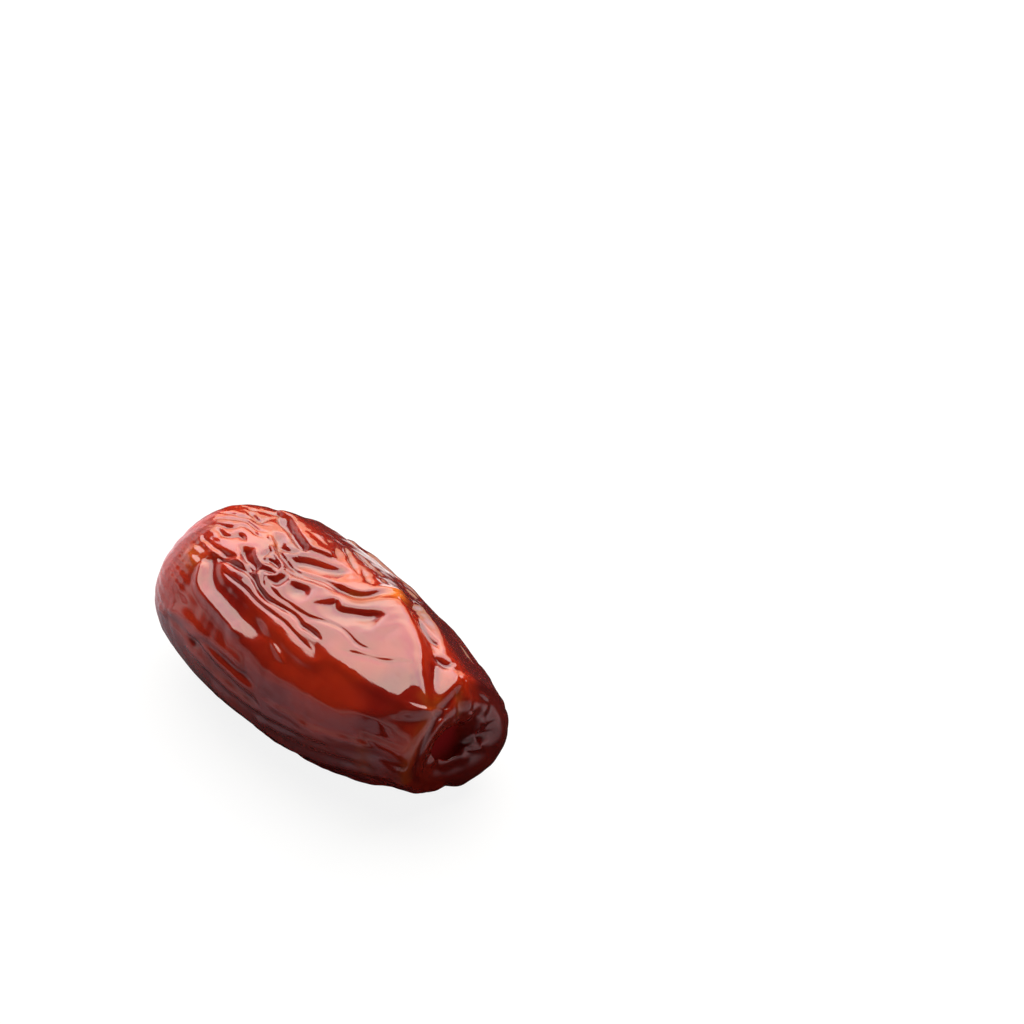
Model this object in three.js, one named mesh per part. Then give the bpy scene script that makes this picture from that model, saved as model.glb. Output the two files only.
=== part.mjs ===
// A pitted date lying on its side, in millimetres, with +X towards its stem end and +Z up.
// The skin is one closed surface: it runs from the tip over the outside to the blunt stem end,
// turns in over the lip of the mouth there and lines the hollow that the stone was taken out of.
import * as THREE from "three";
import { mergeVertices } from "three/addons/utils/BufferGeometryUtils.js";

const { clamp, degToRad, lerp, radToDeg, smoothstep } = THREE.MathUtils;

// Driving dimensions of the plump body, measured from its middle.
const HALF_LENGTH = 21.3;
const HALF_WIDTH = 10.6;
const HALF_HEIGHT = 9.7;
const TIP_POWER = 2.3; // 2 gives an ellipsoid's round end, and a higher power a blunter one
const STEM_POWER = 3.6;
const REST_DEPTH = 0.3; // how far the soft underside is pressed flat where it rests
const REST_EDGE = 1.6; // the height over which folds die away towards the flat

// The stem end is dished inside its rim, and the mouth of the hollow is in the middle of the dish.
const DISH_DEPTH = 2.2;
const DISH_INNER_RADIUS = 2;
const DISH_OUTER_RADIUS = 7.5;
const LIP_ALONG = 88; // the place along the body where the skin turns in over the lip
const LIP_PUCKERS = 9;
const LIP_PUCKER_HEIGHT = 0.15;
const SECTION_POWER = 2.4; // the mouth and the hollow are a little squarer than an ellipse

// The hollow from its mouth inwards: distance from the body's middle, half width, half height.
const HOLLOW_SECTIONS = [
  [18.7, 3.2, 3.1],
  [18.0, 2.94, 2.9],
  [16.9, 2.84, 2.82],
  [15.2, 2.98, 2.86],
  [12.6, 3.45, 3.0],
  [9.3, 3.9, 3.2],
  [5.5, 3.9, 3.25],
  [1.5, 3.5, 2.95],
  [-1.5, 2.6, 2.2],
  [-3.3, 1.3, 1.1],
  [-3.8, 0, 0],
];

// A place on the skin is given along the body, 0 at the tip and 100 at the stem end, and around it,
// in degrees from the top towards +Y.

// Soft bulges and hollows of the whole body: place, half spread in millimetres, height.
const SWELLS = [
  { along: 31, around: -103, spreadAlong: 9, spreadAround: 9, height: 1.5 },
  { along: 20, around: -88, spreadAlong: 4, spreadAround: 5, height: 1 },
  { along: 17, around: -28, spreadAlong: 4, spreadAround: 4, height: -0.4 },
  { along: 17, around: 22, spreadAlong: 3, spreadAround: 4, height: 0.7 },
  { along: 22, around: 34, spreadAlong: 3, spreadAround: 3, height: 0.3 },
  { along: 35, around: 50, spreadAlong: 3, spreadAround: 3, height: 0.4 },
  { along: 56, around: -122, spreadAlong: 5, spreadAround: 5, height: 0.9 },
  { along: 82, around: 110, spreadAlong: 6, spreadAround: 7, height: 0.6 },
  { along: 80, around: 142, spreadAlong: 4, spreadAround: 4.5, height: 0.8 },
  { along: 56, around: 50, spreadAlong: 3, spreadAround: 3, height: -0.35 },
  { along: 74, around: -120, spreadAlong: 8, spreadAround: 7, height: -1 },
  { along: 79, around: -150, spreadAlong: 4, spreadAround: 5, height: -0.55 },
  { along: 73, around: 60, spreadAlong: 6, spreadAround: 5, height: -1.9 },
];

// Single folds of the skin: a path of [along, around] places, half width and height, which is
// negative in a groove.
const FOLDS = [
  // The seam across the top ahead of the stem end is a crest with a groove behind it.
  { width: 0.9, height: 0.4, path: [[57.5, 30], [62, 21], [67, 10], [71.5, -3], [77, -21]] },
  { width: 0.9, height: -0.45, path: [[62, 30], [66.5, 20], [71, 9], [75.5, -4], [79, -16]] },
  // The rim of the blunt stem end, all the way round.
  { width: 0.9, height: 0.6, path: [[78, -150], [79, -110], [80.5, -75], [79, -42], [78, -12], [78.5, 16]] },
  { width: 0.9, height: 0.55, path: [[78.5, 8], [81, 40], [79, 80], [80.5, 115], [78.5, 150], [80, 190]] },
  { width: 0.7, height: 0.35, path: [[77.8, 12], [82, 15], [87, 18]] },
  // The long trough along the top.
  { width: 1.0, height: -0.6, path: [[36, -9], [44, -6], [49.5, 0], [55, 3.5], [58, 24]] },
  { width: 0.7, height: 0.3, path: [[37, 5], [44, 3], [50, 9], [54, 16]] },
  // Lens-shaped dents beside the trough.
  { width: 0.7, height: -0.4, path: [[52.5, -8], [56, -6], [61.5, 8]] },
  { width: 0.7, height: -0.35, path: [[41.5, 1], [45, 10], [48.5, 15]] },
  { width: 0.8, height: -0.35, path: [[42.5, -19], [45.5, -14], [49, -7]] },
  // Creases that run along the near shoulder.
  { width: 0.6, height: -0.4, path: [[33, -30], [38, -33], [44, -36.5], [50, -35.5], [56, -37]] },
  { width: 0.6, height: -0.35, path: [[43, -22], [48, -25], [54, -23], [60, -19.5], [66, -17]] },
  { width: 0.7, height: -0.4, path: [[30, -25], [35, -28], [43, -30], [50, -28.5], [57, -31]] },
  { width: 0.6, height: 0.25, path: [[30, -28], [36, -31], [44, -33.5], [52, -32.5], [58, -34]] },
  // The long bulge low on the shoulder, with a furrow on each side of it.
  { width: 1.3, height: 0.55, path: [[27, -38], [33, -45], [40, -50], [47, -55]] },
  { width: 0.8, height: -0.45, path: [[30, -36], [35, -42], [41, -45]] },
  { width: 0.8, height: -0.4, path: [[30, -47], [36, -54], [44, -57]] },
  // Short folds high on the far side of the crown.
  { width: 0.8, height: -0.5, path: [[30, 25], [35, 23], [38.5, 17], [41, 12]] },
  { width: 0.7, height: -0.4, path: [[36, 34], [41, 24.5], [46, 26]] },
  { width: 0.7, height: -0.4, path: [[43, 30], [47, 26], [51, 21]] },
  { width: 0.7, height: -0.4, path: [[24, 0], [29, 2.5], [35, -1]] },
  { width: 0.7, height: -0.4, path: [[24, -19], [29, -21], [36, -20]] },
  { width: 0.6, height: -0.4, path: [[64.5, 25], [68, 22], [71, 12], [74.5, 15]] },
  // Folds on the lower near side.
  { width: 0.8, height: 0.35, path: [[27, -73], [33, -67], [38, -70], [44, -70]] },
  { width: 0.8, height: -0.4, path: [[30, -79], [36, -83], [42, -84], [50, -88]] },
  { width: 0.7, height: 0.35, path: [[38, -76], [43, -79], [51, -85]] },
  { width: 0.8, height: -0.4, path: [[48, -97], [56, -94], [61, -99], [67, -100]] },
  { width: 1.0, height: 0.35, path: [[50, -101], [55, -100], [60, -104]] },
  { width: 1.0, height: -0.3, path: [[67, -68], [71, -74], [76, -80]] },
  { width: 1.0, height: -0.3, path: [[66, -92], [70, -98], [74, -104]] },
];
const FOLD_FADE = 0.2; // the share of a fold's path over which each end of it dies away
const FOLD_STEPS = 6; // straight steps between two places of a path

// Layers of long wandering wrinkles over the rest of the skin. A sharpness over 1 narrows the crests.
const WRINKLES = [
  { count: 12, height: 0.9, wander: 20, sharpness: 0.9, seed: 1 },
  { count: 23, height: 0.5, wander: 13, sharpness: 1.5, seed: 2 },
];
// The skin round the single folds is smoother: its middle, half size and the width of its edge.
const SMOOTH_ALONG = { middle: 52, half: 28, edge: 9 };
const SMOOTH_AROUND = { middle: -33, half: 72, edge: 22 };
const SMOOTH_SHARE = 0.14; // how much of the wrinkles is left there
const WRINKLES_START = [1, 12]; // the places along the body between which they rise at the tip
const WRINKLES_END = [68, 82]; // and between which they die away at the stem end

const MESH_DETAIL = 21; // each side of an icosahedron's face is cut into one more than this
const LIP_ANGLE = degToRad(148); // of the mesh's 180 degrees from end to end, those outside the lip

/** Unit direction from the body's middle to a place on the skin. */
function direction(along, around) {
  const t = (along / 100) * Math.PI;
  const turn = degToRad(around);
  return new THREE.Vector3(
    -HALF_LENGTH * Math.cos(t),
    HALF_WIDTH * Math.sin(t) * Math.sin(turn),
    HALF_HEIGHT * Math.sin(t) * Math.cos(turn),
  ).normalize();
}

/** The point of the plump body in a direction from its middle. */
function plumpPoint(unit) {
  const power = lerp(TIP_POWER, STEM_POWER, smoothstep(unit.x, -1, 1));
  const girth = Math.hypot(unit.y / HALF_WIDTH, unit.z / HALF_HEIGHT);
  const reach = (Math.abs(unit.x / HALF_LENGTH) ** power + girth ** power) ** (-1 / power);
  return unit.clone().multiplyScalar(reach);
}

/** The way out of the body at a point of its surface. */
function outward(point) {
  return new THREE.Vector3(
    point.x / HALF_LENGTH ** 2,
    point.y / HALF_WIDTH ** 2,
    point.z / HALF_HEIGHT ** 2,
  ).normalize();
}

/** A swell's middle on the plump body, with the way out and the way along the skin there. */
function placeSwell(swell) {
  const middle = plumpPoint(direction(swell.along, swell.around));
  const out = outward(middle);
  const onward = new THREE.Vector3(1, 0, 0).addScaledVector(out, -out.x).normalize();
  return { ...swell, middle, onward };
}

const swells = SWELLS.map(placeSwell);

/** How far a swell lifts a point of the plump body. */
function swellRise(point, swell) {
  const offset = point.clone().sub(swell.middle);
  const along = offset.dot(swell.onward);
  const aside = offset.addScaledVector(swell.onward, -along).length();
  return swell.height * Math.exp(-((along / swell.spreadAlong) ** 2 + (aside / swell.spreadAround) ** 2) / 2);
}

/** The body with its swells and its dished end, before any wrinkle. */
function bodyPoint(along, around) {
  const point = plumpPoint(direction(along, around));
  const rise = swells.reduce((sum, swell) => sum + swellRise(point, swell), 0);
  if (point.x > 0) {
    const radius = Math.hypot(point.y, point.z);
    point.x -= DISH_DEPTH * (1 - smoothstep(radius, DISH_INNER_RADIUS, DISH_OUTER_RADIUS));
  }
  return point.addScaledVector(outward(point), rise);
}

/** A fold's path as points on the body. */
function placeFold(fold) {
  const curve = new THREE.SplineCurve(fold.path.map((place) => new THREE.Vector2(...place)));
  const places = curve.getPoints((fold.path.length - 1) * FOLD_STEPS);
  return { ...fold, line: places.map((place) => bodyPoint(place.x, place.y)) };
}

const folds = FOLDS.map(placeFold);

/** How far a fold lifts a point of the body. */
function foldRise(point, fold) {
  const step = new THREE.Line3();
  const foot = new THREE.Vector3();
  const last = fold.line.length - 1;
  let nearest = Infinity;
  let share = 0;
  for (let i = 0; i < last; i++) {
    step.set(fold.line[i], fold.line[i + 1]);
    const part = step.closestPointToPointParameter(point, true);
    const distance = step.at(part, foot).distanceTo(point);
    if (distance < nearest) {
      nearest = distance;
      share = (i + part) / last;
    }
  }
  const ends = smoothstep(share, 0, FOLD_FADE) * smoothstep(1 - share, 0, FOLD_FADE);
  return fold.height * ends * Math.exp(-((nearest / fold.width) ** 2));
}

/** A slow wave over the skin between -1 and 1, another one for each seed. */
function slowWave(along, turn, seed) {
  return (
    0.5 * Math.sin(2 * turn + 0.07 * along + 2.4 * seed) +
    0.3 * Math.sin(3 * turn - 0.13 * along + 4.1 * seed) +
    0.2 * Math.sin(5 * turn + 0.19 * along + 1.7 * seed)
  );
}

/** How far one layer of wrinkles lifts a place: rounded crests with narrow valleys between. */
function layerRise(along, around, layer) {
  const turn = degToRad(around);
  const drift = degToRad(layer.wander) * slowWave(along, turn, layer.seed);
  const crest = Math.abs(Math.cos((layer.count * (turn + drift)) / 2)) ** layer.sharpness;
  const strength = 0.65 + 0.35 * slowWave(2.3 * along, turn, layer.seed + 7);
  return layer.height * strength * (crest - 0.6);
}

/** 1 in the middle of a stretch and 0 outside it. */
function within(value, stretch) {
  return 1 - smoothstep(Math.abs(value - stretch.middle), stretch.half, stretch.half + stretch.edge);
}

/** How far the long wrinkles lift a place. */
function wrinkleRise(along, around) {
  const whole = WRINKLES.reduce((sum, layer) => sum + layerRise(along, around, layer), 0);
  const smooth = within(along, SMOOTH_ALONG) * within(around, SMOOTH_AROUND);
  const ends = smoothstep(along, ...WRINKLES_START) * (1 - smoothstep(along, ...WRINKLES_END));
  return whole * ends * lerp(1, SMOOTH_SHARE, smooth);
}

/** How far the puckered skin round the mouth is lifted. */
function puckerRise(along, around) {
  const nearLip = smoothstep(along, LIP_ALONG - 9, LIP_ALONG);
  return LIP_PUCKER_HEIGHT * nearLip * Math.cos(LIP_PUCKERS * degToRad(around));
}

/** The finished skin outside the lip, pressed flat where it rests. */
function skinPoint(along, around) {
  const point = bodyPoint(along, around);
  const single = folds.reduce((sum, fold) => sum + foldRise(point, fold), 0);
  const rise = single + wrinkleRise(along, around) + puckerRise(along, around);
  const floor = REST_DEPTH - HALF_HEIGHT;
  point.addScaledVector(outward(point), rise * smoothstep(point.z, floor, floor + REST_EDGE));
  point.z = Math.max(point.z, floor);
  return point;
}

/** A point of the hollow's wall in one of its sections. */
function hollowPoint([x, halfWidth, halfHeight], around) {
  const turn = degToRad(around);
  const power = 2 / SECTION_POWER;
  const wide = Math.sign(Math.sin(turn)) * Math.abs(Math.sin(turn)) ** power;
  const high = Math.sign(Math.cos(turn)) * Math.abs(Math.cos(turn)) ** power;
  return new THREE.Vector3(x, halfWidth * wide, halfHeight * high);
}

/** The skin inside the lip: a smooth line from the lip to the hollow's end, at a share of the way in. */
function liningPoint(share, around) {
  const sections = HOLLOW_SECTIONS.map((section) => hollowPoint(section, around));
  const points = [skinPoint(LIP_ALONG - 4, around), skinPoint(LIP_ALONG, around), ...sections];
  const line = new THREE.CatmullRomCurve3(points, false, "catmullrom", 0.5);
  return line.getPoint((1 + share * sections.length) / (sections.length + 1));
}

/** Carries a point of the unit sphere to the skin. */
function carry(unit) {
  const angle = Math.acos(clamp(-unit.x, -1, 1));
  const around = radToDeg(Math.atan2(unit.y, unit.z));
  if (angle <= LIP_ANGLE) return skinPoint((angle / LIP_ANGLE) * LIP_ALONG, around);
  return liningPoint((angle - LIP_ANGLE) / (Math.PI - LIP_ANGLE), around);
}

/** The whole date as one closed surface, standing on Z = 0 with the middle of its box over the origin. */
function dateGeometry() {
  const ball = new THREE.IcosahedronGeometry(1, MESH_DETAIL);
  ball.deleteAttribute("normal");
  ball.deleteAttribute("uv");
  const geometry = mergeVertices(ball);
  const position = geometry.getAttribute("position");
  for (let i = 0; i < position.count; i++) {
    const point = carry(new THREE.Vector3().fromBufferAttribute(position, i).normalize());
    position.setXYZ(i, point.x, point.y, point.z);
  }
  geometry.computeBoundingBox();
  const middle = geometry.boundingBox.getCenter(new THREE.Vector3());
  geometry.translate(-middle.x, -middle.y, -geometry.boundingBox.min.z);
  geometry.computeVertexNormals();
  return geometry;
}

const skin = new THREE.MeshStandardMaterial({ color: 0x7d1d0c, roughness: 0.18, metalness: 0 });

const date = new THREE.Mesh(dateGeometry(), skin);
date.name = "date";

const pittedDate = new THREE.Group();
pittedDate.add(date);

export default pittedDate;
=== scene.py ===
# %% [markdown]
# # A pitted date
#
# A soft, glossy date lies on a pale table. Its stone has been pushed out through the blunt stem
# end, so an open mouth is left there, and its skin has shrunk into long wandering folds. This
# notebook models that skin as one closed surface, gives it a moist translucent finish and lights
# it like a small product photograph. The measured model is loaded first, and all that follows is
# made in its frame: metres, +X towards the stem end and +Z up.

# %% Load the measured model
import math

import bmesh
import bpy
import numpy as np
from mathutils import Matrix, Vector


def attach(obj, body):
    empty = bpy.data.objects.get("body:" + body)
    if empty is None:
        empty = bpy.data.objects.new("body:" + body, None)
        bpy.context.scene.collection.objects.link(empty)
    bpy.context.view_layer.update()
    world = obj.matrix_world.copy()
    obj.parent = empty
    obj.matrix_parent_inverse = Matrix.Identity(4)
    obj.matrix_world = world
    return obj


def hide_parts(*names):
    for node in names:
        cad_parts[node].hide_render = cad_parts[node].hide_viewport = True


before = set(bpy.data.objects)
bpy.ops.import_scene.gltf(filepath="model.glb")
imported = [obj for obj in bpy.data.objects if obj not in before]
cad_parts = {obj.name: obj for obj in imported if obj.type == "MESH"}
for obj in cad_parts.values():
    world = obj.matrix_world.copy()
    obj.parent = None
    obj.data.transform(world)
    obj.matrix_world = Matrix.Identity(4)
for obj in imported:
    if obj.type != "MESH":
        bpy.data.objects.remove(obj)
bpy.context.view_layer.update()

# %% [markdown]
# ## The plump body
#
# Before it dried, the fruit was a smooth spindle: rounded at the tip and blunt at the stem. A
# sphere could be stretched by hand, but a formula says the same in a few numbers and lets every
# fold be placed by measure. A place on the skin is given **along** the body, 0 at the tip and 100
# at the stem end, and **around** it, in degrees from the top towards +Y. Lengths are millimetres
# until the mesh is finished.

# %% The driving dimensions
HALF_LENGTH, HALF_WIDTH, HALF_HEIGHT = 21.3, 10.6, 9.7
HALF_SIZES = np.array([HALF_LENGTH, HALF_WIDTH, HALF_HEIGHT])
TIP_POWER, STEM_POWER = 2.3, 3.6    # 2 is an ellipsoid's round end, and more is blunter
REST_DEPTH, REST_EDGE = 0.3, 1.6    # the flat underside, and how folds die away towards it
DISH_DEPTH, DISH_INNER_RADIUS, DISH_OUTER_RADIUS = 2.2, 2.0, 7.5
DISH_MIDDLE = (-0.4, -0.9)          # where the dish is deepest, from the body's axis
FLOOR_HEIGHT = REST_DEPTH - HALF_HEIGHT


def smoothstep(value, low, high):
    """0 below low, 1 above high and a smooth rise between them."""
    share = np.clip((value - low) / (high - low), 0.0, 1.0)
    return share * share * (3 - 2 * share)


def unit(vectors):
    """The same directions, brought to a length of 1."""
    return vectors / np.linalg.norm(vectors, axis=-1, keepdims=True)


def direction(along, around):
    """Unit direction from the body's middle to a place on the skin."""
    angle, turn = np.broadcast_arrays(np.pi * np.asarray(along) / 100, np.radians(around))
    ring = np.sin(angle)
    ways = np.stack([-np.cos(angle), ring * np.sin(turn), ring * np.cos(turn)], axis=-1)
    return unit(ways * HALF_SIZES)


def plump_points(ways):
    """The points of the plump body in the given directions from its middle."""
    power = TIP_POWER + (STEM_POWER - TIP_POWER) * smoothstep(ways[..., 0], -1, 1)
    girth = np.hypot(ways[..., 1] / HALF_WIDTH, ways[..., 2] / HALF_HEIGHT)
    reach = (np.abs(ways[..., 0] / HALF_LENGTH) ** power + girth ** power) ** (-1 / power)
    return ways * reach[..., None]


def outward(points):
    """The way straight out of the body at each point."""
    return unit(points / HALF_SIZES ** 2)


# %% [markdown]
# ## Swells and the dished end
#
# No date is even: this one bulges on its near side towards the tip and is pressed in towards the
# stem end, which is dished inside its rim. Each swell is a soft bell of a given reach, so the
# list below is the whole modelling of the large shape.

# %% Swells
# place along, place around, half spread along and around in millimetres, height
SWELLS = [
    (31, -103, 9, 9, 1.5),
    (20, -88, 4, 5, 1.0),
    (17, -28, 4, 4, -0.4),
    (17, 22, 3, 4, 0.7),
    (22, 34, 3, 3, 0.3),
    (35, 50, 3, 3, 0.4),
    (56, -122, 5, 5, 0.9),
    (82, 110, 6, 7, 0.6),
    (80, 142, 4, 4.5, 0.8),
    (56, 50, 3, 3, -0.35),
    (74, -120, 8, 7, -1.0),
    (79, -150, 4, 5, -0.55),
    (73, 60, 6, 5, -1.9),
    (76, -26, 2.2, 2.2, 0.12),
]


def swell_rise(points, along, around, spread_along, spread_around, height):
    """How far one swell lifts each point of the plump body."""
    middle = plump_points(direction(along, around))
    out = outward(middle)
    onward = unit(np.array([1.0, 0.0, 0.0]) - out * out[0])
    offset = points - middle
    lengthwise = offset @ onward
    aside = np.linalg.norm(offset - lengthwise[..., None] * onward, axis=-1)
    return height * np.exp(-((lengthwise / spread_along) ** 2 + (aside / spread_around) ** 2) / 2)


def body_points(along, around):
    """The body with its swells and its dished end, before any fold."""
    points = plump_points(direction(along, around))
    rise = sum(swell_rise(points, *swell) for swell in SWELLS)
    radius = np.hypot(points[..., 1] - DISH_MIDDLE[0], points[..., 2] - DISH_MIDDLE[1])
    dish = DISH_DEPTH * (1 - smoothstep(radius, DISH_INNER_RADIUS, DISH_OUTER_RADIUS))
    points[..., 0] -= np.where(points[..., 0] > 0, dish, 0)
    return points + outward(points) * rise[..., None]


print("widest ring in mm:", np.ptp(body_points(50, np.arange(360)), axis=0).round(2))

# %% [markdown]
# ## The camera
#
# The photograph looks down on the date from above its near stem end. A long lens far away keeps
# its two ends at nearly one scale, so that every fold falls where it was measured. The camera aims
# beside the date, which puts it in its own place in the picture.

# %% The camera
VIEW_AZIMUTH, VIEW_ELEVATION = math.radians(47), math.radians(43)
LENS, SENSOR, IMAGE_SIDE = 300.0, 36.0, 1024
PIXELS_PER_MM = 9.35
BODY_PIXEL = (331.0, 649.0)    # where the body's middle is in the photograph
TO_CAMERA = Vector((
    math.sin(VIEW_AZIMUTH) * math.cos(VIEW_ELEVATION),
    -math.cos(VIEW_AZIMUTH) * math.cos(VIEW_ELEVATION),
    math.sin(VIEW_ELEVATION),
))
IMAGE_RIGHT = Vector((math.cos(VIEW_AZIMUTH), math.sin(VIEW_AZIMUTH), 0))
IMAGE_UP = TO_CAMERA.cross(IMAGE_RIGHT)


def add_camera(body_middle):
    """Aims a camera so that the body's middle falls on its pixel."""
    right = (IMAGE_SIDE / 2 - BODY_PIXEL[0]) / PIXELS_PER_MM
    up = (BODY_PIXEL[1] - IMAGE_SIDE / 2) / PIXELS_PER_MM
    target = body_middle + (IMAGE_RIGHT * right + IMAGE_UP * up) / 1000
    distance = LENS * IMAGE_SIDE / (SENSOR * PIXELS_PER_MM) / 1000
    data = bpy.data.cameras.new("camera")
    data.lens = LENS
    data.sensor_width = SENSOR
    camera = bpy.data.objects.new("camera", data)
    camera.location = target + TO_CAMERA * distance
    camera.rotation_euler = TO_CAMERA.to_track_quat("Z", "Y").to_euler()
    bpy.context.collection.objects.link(camera)
    bpy.context.scene.camera = camera
    return distance


print("the picture spans", round(IMAGE_SIDE / PIXELS_PER_MM, 1), "mm")

# %% [markdown]
# ## Single folds
#
# The near side is smooth enough that each fold can be told from the next. Every one is a smooth
# line through a few places on the skin, with a bell-shaped section: raised for a crest, sunk for
# a groove. Folds of slack skin lean over, so the bell is steeper on one side than on the other,
# and its two half widths are given apart.

# %% Fold helpers
FOLD_FADE = 1.8             # millimetres over which each end of a fold dies away
FADE_SHARES = (0.1, 0.45)   # and the least and the most of its length that this may be
END_WIDTH = 0.35            # the share of its width that is left at the ends
SIDE_BLEND = 0.1            # millimetres each side of its line where the two half widths meet
FOLD_STEPS = 8              # straight steps between two places of a path
FOLD_REACH = 3              # a fold is felt as far as this many of its half widths
TINY = 1e-9                 # keeps divisions away from nothing


def smooth_path(places, steps):
    """A smooth line through the given places."""
    padded = np.vstack([places[:1], places, places[-1:]])
    share = np.linspace(0, 1, steps, endpoint=False)[:, None]
    spans = []
    for before, start, end, after in zip(padded, padded[1:], padded[2:], padded[3:]):
        lead, trail = (end - before) / 2, (after - start) / 2
        cubic = 2 * (start - end) + lead + trail
        square = 3 * (end - start) - 2 * lead - trail
        spans.append(((cubic * share + square) * share + lead) * share + start)
    return np.vstack([*spans, places[-1:]])


def nearest_on_line(points, line):
    """Each point's offset from the nearest spot of a line, the line's way and share there."""
    nearest = np.full(len(points), np.inf)
    offset, way, share = np.zeros_like(points), np.zeros_like(points), np.zeros(len(points))
    for index, (start, end) in enumerate(zip(line, line[1:])):
        step = end - start
        part = np.clip((points - start) @ step / max(step @ step, TINY), 0, 1)
        gap = points - start - part[:, None] * step
        distance = np.linalg.norm(gap, axis=1)
        closer = distance < nearest
        nearest[closer] = distance[closer]
        offset[closer] = gap[closer]
        way[closer] = step
        share[closer] = (index + part[closer]) / (len(line) - 1)
    return nearest, offset, way, share


def fold_rise(points, right_width, left_width, height, path):
    """How far a fold lifts each point of the body; its left is seen along the path from outside."""
    places = smooth_path(np.array(path, float), FOLD_STEPS)
    line = body_points(places[:, 0], places[:, 1])
    margin = FOLD_REACH * max(right_width, left_width)
    near = np.all((points > line.min(0) - margin) & (points < line.max(0) + margin), axis=1)
    distance, offset, way, share = nearest_on_line(points[near], line)
    side = np.einsum("ij,ij->i", np.cross(way, offset), outward(points[near]))
    side /= np.linalg.norm(way, axis=1) + TINY
    width = right_width + (left_width - right_width) * smoothstep(side, -SIDE_BLEND, SIDE_BLEND)
    length = np.linalg.norm(np.diff(line, axis=0), axis=1).sum()
    fade = np.clip(FOLD_FADE / length, *FADE_SHARES)
    ends = smoothstep(share, 0, fade) * smoothstep(1 - share, 0, fade)
    width *= END_WIDTH + (1 - END_WIDTH) * ends
    rise = np.zeros(len(points))
    rise[near] = height * ends * np.exp(-(distance / width) ** 2)
    return rise


# %% [markdown]
# ## Where the folds are
#
# The list goes over the skin region by region, as one would draw it: first the seam, the rim and
# the dished end, then the crown, the pointed end and the knot, and last the sides. A fold could
# also be carved by hand, but a list can be measured, corrected and read again.

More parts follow.
